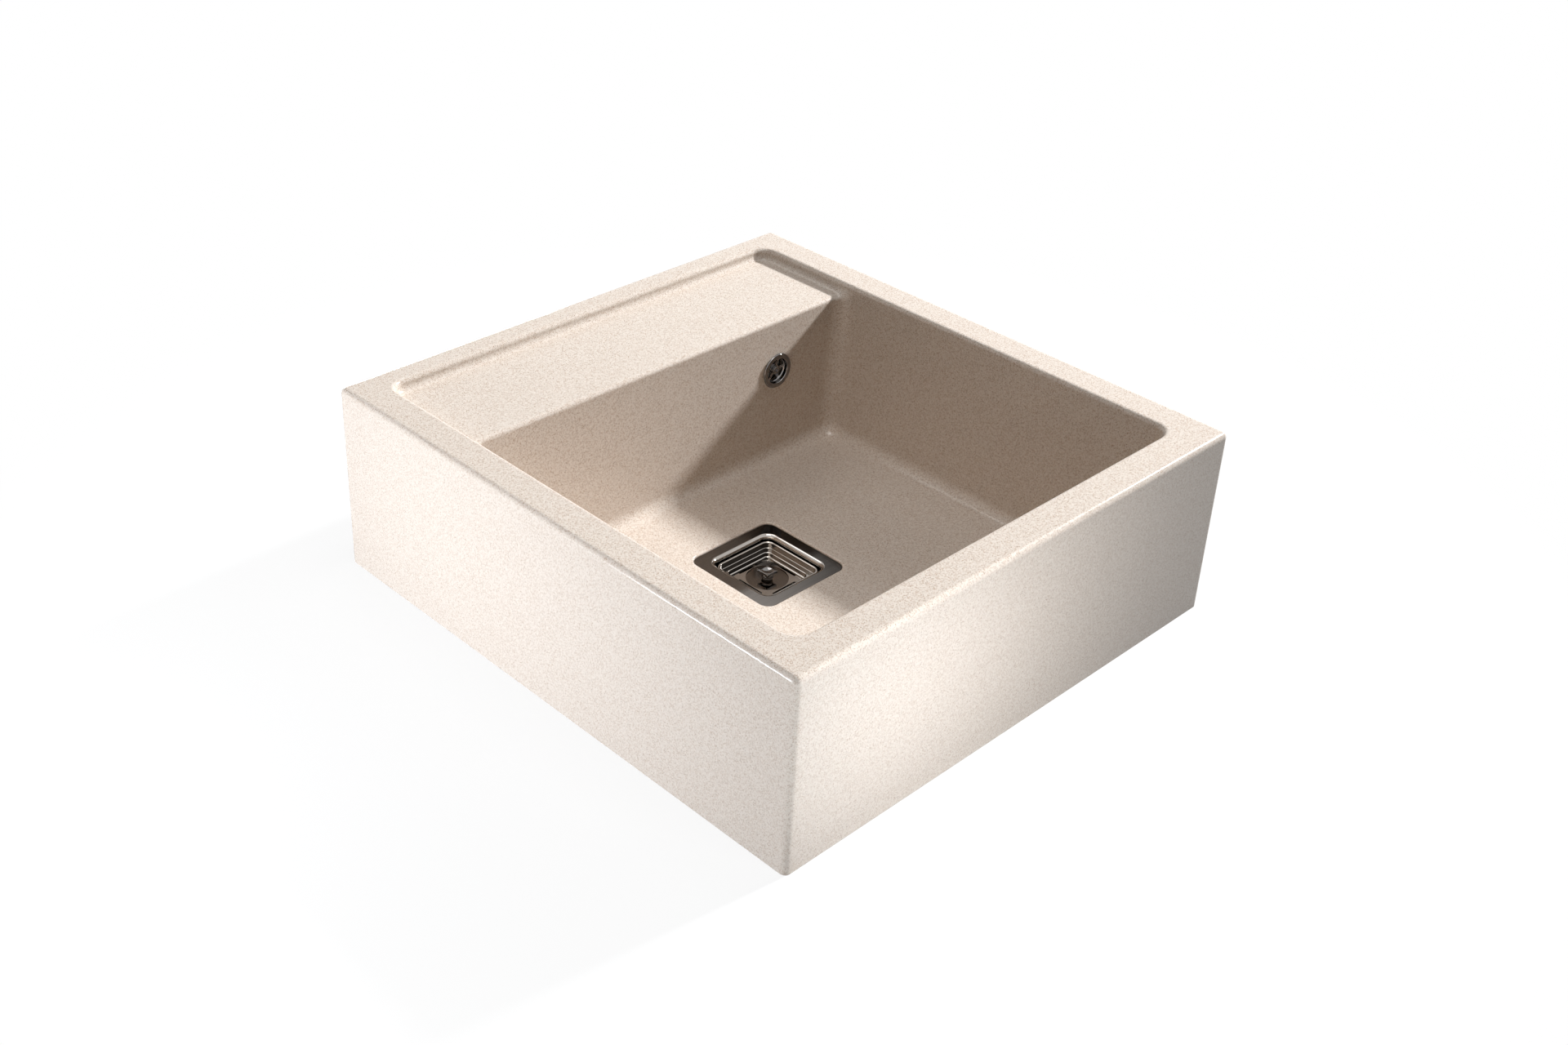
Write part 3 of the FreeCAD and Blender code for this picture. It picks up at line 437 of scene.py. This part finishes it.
def threadTree(name, material, look):
    tree = bpy.data.node_groups.new(name, "GeometryNodeTree")
    face = tree.interface
    names = ["Radius", "Ridge", "Pitch", "Turns"]
    for label in names:
        face.new_socket(label, in_out="INPUT", socket_type="NodeSocketFloat")
    face.new_socket("Place", in_out="INPUT", socket_type="NodeSocketVector")
    face.new_socket("Geometry", in_out="OUTPUT", socket_type="NodeSocketGeometry")
    given = tree.nodes.new("NodeGroupInput")
    wire = {label: Wire(tree, given.outputs[label]) for label in names + ["Place"]}
    radius = wire["Radius"]
    spiral = radius.node("GeometryNodeCurveSpiral", inputs={
        "Resolution": look["turnSteps"], "Rotations": wire["Turns"], "Start Radius": radius,
        "End Radius": radius, "Height": wire["Pitch"] * wire["Turns"]})
    spiral = spiral.node("GeometryNodeSetCurveNormal", {"mode": "Z_UP"}, {"Curve": spiral})
    ridge = radius.node("GeometryNodeCurvePrimitiveCircle", inputs={
        "Resolution": look["ridgeSides"], "Radius": wire["Ridge"]})
    solid = spiral.node("GeometryNodeCurveToMesh", inputs={
        "Curve": spiral, "Profile Curve": ridge, "Fill Caps": True})
    solid = solid.node("GeometryNodeTransform", inputs={"Geometry": solid, "Translation": wire["Place"]})
    solid = solid.node("GeometryNodeRealizeInstances", inputs={0: solid})
    solid = solid.node("GeometryNodeSetMaterial", inputs={"Geometry": solid, "Material": material})
    end = tree.nodes.new("NodeGroupOutput")
    tree.links.new(solid.socket, end.inputs[0])
    return tree


def grownMesh(name, tree, values):  # runs a tree on an empty mesh and keeps the result as a plain mesh
    holder = bpy.data.objects.new(name + "Seed", bpy.data.meshes.new(name + "Seed"))
    scene.collection.objects.link(holder)
    modifier = holder.modifiers.new("grow", "NODES")
    modifier.node_group = tree
    for item in tree.interface.items_tree:
        if item.in_out == "INPUT" and item.name in values:
            modifier[item.identifier] = values[item.name]
    graph = bpy.context.evaluated_depsgraph_get()
    mesh = bpy.data.meshes.new_from_object(holder.evaluated_get(graph))
    bpy.data.objects.remove(holder)
    piece = bpy.data.objects.new(name, mesh)
    scene.collection.objects.link(piece)
    return piece


windTree = threadTree("pipeThread", finishes["white_plastic"], outletThread)
thread = grownMesh("outletThread", windTree, {
    "Radius": outletThread["radius"], "Ridge": outletThread["ridge"], "Pitch": outletThread["pitch"],
    "Turns": outletThread["turns"], "Place": (0.0, drainY, outletThread["lowZ"])})
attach(thread, "sink")
print("outlet thread wound:", len(thread.data.polygons), "faces")

# floor with a well under the sink, because the waste hangs below its skirt
floorLook = {
    "half": 7.0,
    "well": (0.270, 0.285),
    "white": (0.92, 0.92, 0.92, 1),
    "bounce": (0.17, 0.17, 0.17, 1),  # what the sink gets back from the floor
    "roughness": 0.9,
    "shadeShare": 0.12,  # how much of the shadow shows near the sink
    "fade": (0.42, 0.85),  # over this distance the shadow fades out
}
plainWhite = {"Color": (1, 1, 1, 1), "Strength": 1.0}


def lookingRays(tree):  # 1 for rays that see the stage directly, in metal or through glass
    ray = tree.nodes.new("ShaderNodeLightPath")
    seen = Wire(tree, ray.outputs["Is Camera Ray"])
    for other in ("Is Glossy Ray", "Is Transmission Ray"):
        seen = seen.maths("MAXIMUM", seen, Wire(tree, ray.outputs[other]))
    return seen


def floorMaterial(look):
    material, shader, place = startMaterial("paleFloor")
    shader.inputs["Roughness"].default_value = look["roughness"]
    shader.inputs["Specular IOR Level"].default_value = 0.0
    tree = material.node_tree
    seen = lookingRays(tree)
    feed(shader, {"Base Color": mixColour(seen, look["bounce"], look["white"])})
    lit = Wire(tree, shader.outputs[0])
    away = place.node("ShaderNodeVectorMath", {"operation": "LENGTH"}, {0: place}, out="Value")
    share = ranged(away, *look["fade"], 1 - look["shadeShare"], 1.0)
    glow = place.node("ShaderNodeEmission", inputs=plainWhite)
    top = glow.node("ShaderNodeMixShader", inputs={0: seen * share, 1: lit, 2: glow})
    under = place.node("ShaderNodeNewGeometry", out="Backfacing")
    clear = place.node("ShaderNodeBsdfTransparent")  # views from below look through the floor
    both = top.node("ShaderNodeMixShader", inputs={0: under, 1: top, 2: clear})
    output = next(made for made in tree.nodes if made.type == "OUTPUT_MATERIAL")
    tree.links.new(both.socket, output.inputs[0])
    return material


def makeFloor(look):
    far = look["half"]
    x, y = look["well"]
    corners = [(-far, -far, 0), (far, -far, 0), (far, far, 0), (-far, far, 0),
               (-x, -y, 0), (x, -y, 0), (x, y, 0), (-x, y, 0)]
    faces = [(0, 1, 5, 4), (1, 2, 6, 5), (2, 3, 7, 6), (3, 0, 4, 7)]
    mesh = bpy.data.meshes.new("floor")
    mesh.from_pydata(corners, [], faces)
    floor = bpy.data.objects.new("floor", mesh)
    scene.collection.objects.link(floor)
    mesh.materials.append(floorMaterial(look))


makeFloor(floorLook)

# the world lights the sink faintly, and is white where it is seen
worldLook = {"ambient": (1.0, 1.0, 1.0, 1), "strength": 0.03}


def makeWorld(look):
    world = bpy.data.worlds.new("studio")
    world.use_nodes = True
    scene.world = world
    tree = world.node_tree
    tree.nodes.clear()
    seen = lookingRays(tree)
    soft = seen.node("ShaderNodeBackground", inputs={"Color": look["ambient"], "Strength": look["strength"]})
    white = seen.node("ShaderNodeBackground", inputs=plainWhite)
    both = seen.node("ShaderNodeMixShader", inputs={0: seen, 1: soft, 2: white})
    output = tree.nodes.new("ShaderNodeOutputWorld")
    tree.links.new(both.socket, output.inputs[0])


makeWorld(worldLook)

# power in watts, spread in degrees
studioLights = {
    "key": {
        "at": (5.60, -1.08, 3.70), "aim": (0.0, 0.0, 0.1), "size": (0.50, 0.50),
        "power": 338, "spread": 120, "tint": (0.935, 0.965, 1.0),
    },
    "overTop": {
        "at": (-0.05, 0.05, 2.2), "aim": (-0.05, 0.05, 0.0), "size": (0.9, 0.36),
        "power": 12.8, "spread": 180, "tint": (1.0, 1.0, 1.0),
    },
    "overRear": {
        "at": (0.5, 1.1, 2.0), "aim": (0.0, 0.0, 0.05), "size": (0.9, 0.9),
        "power": 6.8, "spread": 180, "tint": (1.0, 1.0, 1.0),
    },
    "leftRear": {
        "at": (-1.35, 0.50, 0.10), "aim": (-0.2, 0.1, 0.10), "size": (0.8, 0.18),
        "power": 2.2, "spread": 180, "tint": (0.94, 0.96, 1.0),
    },
    "leftMid": {
        "at": (-1.00, 0.19, 0.12), "aim": (-0.295, 0.04, 0.10), "size": (0.4, 0.18),
        "power": 7.9, "spread": 180, "tint": (0.885, 0.932, 1.0),
    },
    "frontLow": {
        "at": (-0.22, -0.72, 0.12), "aim": (-0.22, -0.31, 0.15), "size": (0.20, 0.10),
        "power": 0.335, "spread": 110, "tint": (0.90, 0.945, 1.0),
    },
    "frontMid": {
        "at": (-0.12, -0.95, 0.12), "aim": (-0.10, -0.31, 0.13), "size": (0.20, 0.12),
        "power": 0.29, "spread": 60, "tint": (0.96, 0.98, 1.0),
    },
    "frontBeam": {
        "at": (-0.45, -1.25, 0.19), "aim": (-0.24, -0.31, 0.16), "size": (0.20, 0.10),
        "power": 0.09, "spread": 28, "tint": (0.80, 0.92, 1.0),
    },
    "rearLow": {
        "at": (0.4, 1.9, 0.12), "aim": (0.0, 0.3, 0.10), "size": (1.2, 0.18),
        "power": 14, "spread": 180, "tint": (1.0, 1.0, 1.0),
    },
    "under": {
        "at": (-0.7, -0.8, -1.4), "aim": (0.0, 0.0, 0.0), "size": (0.9, 0.9),
        "power": 16, "spread": 180, "tint": (1.0, 1.0, 1.0),
    },
}


def makeLight(name, look):
    lamp = bpy.data.lights.new(name, "AREA")
    lamp.shape = "RECTANGLE"
    lamp.size, lamp.size_y = look["size"]
    lamp.energy = look["power"]
    lamp.color = look["tint"]
    lamp.spread = math.radians(look["spread"])
    holder = bpy.data.objects.new(name, lamp)
    holder.location = look["at"]
    holder.rotation_euler = (Vector(look["aim"]) - Vector(look["at"])).to_track_quat("-Z", "Y").to_euler()
    holder.visible_camera = False
    scene.collection.objects.link(holder)


for name, look in studioLights.items():
    makeLight(name, look)

# angles in degrees, lens and sensor in millimetres
cameraView = {
    "at": (-1.15383, -1.08771, 1.07479),
    "turn": (59.9086, -1.7287, -43.5907),
    "lens": 43.29,
    "sensor": 36.0,
    "shift": (0.0412, -0.0487),
}


def makeCamera(look):
    lens = bpy.data.cameras.new("photoView")
    lens.sensor_width = look["sensor"]
    lens.lens = look["lens"]
    lens.shift_x, lens.shift_y = look["shift"]
    camera = bpy.data.objects.new("photoView", lens)
    camera.location = look["at"]
    camera.rotation_euler = Euler([math.radians(angle) for angle in look["turn"]])
    scene.collection.objects.link(camera)
    scene.camera = camera


makeCamera(cameraView)
print("stage, lights and camera set")
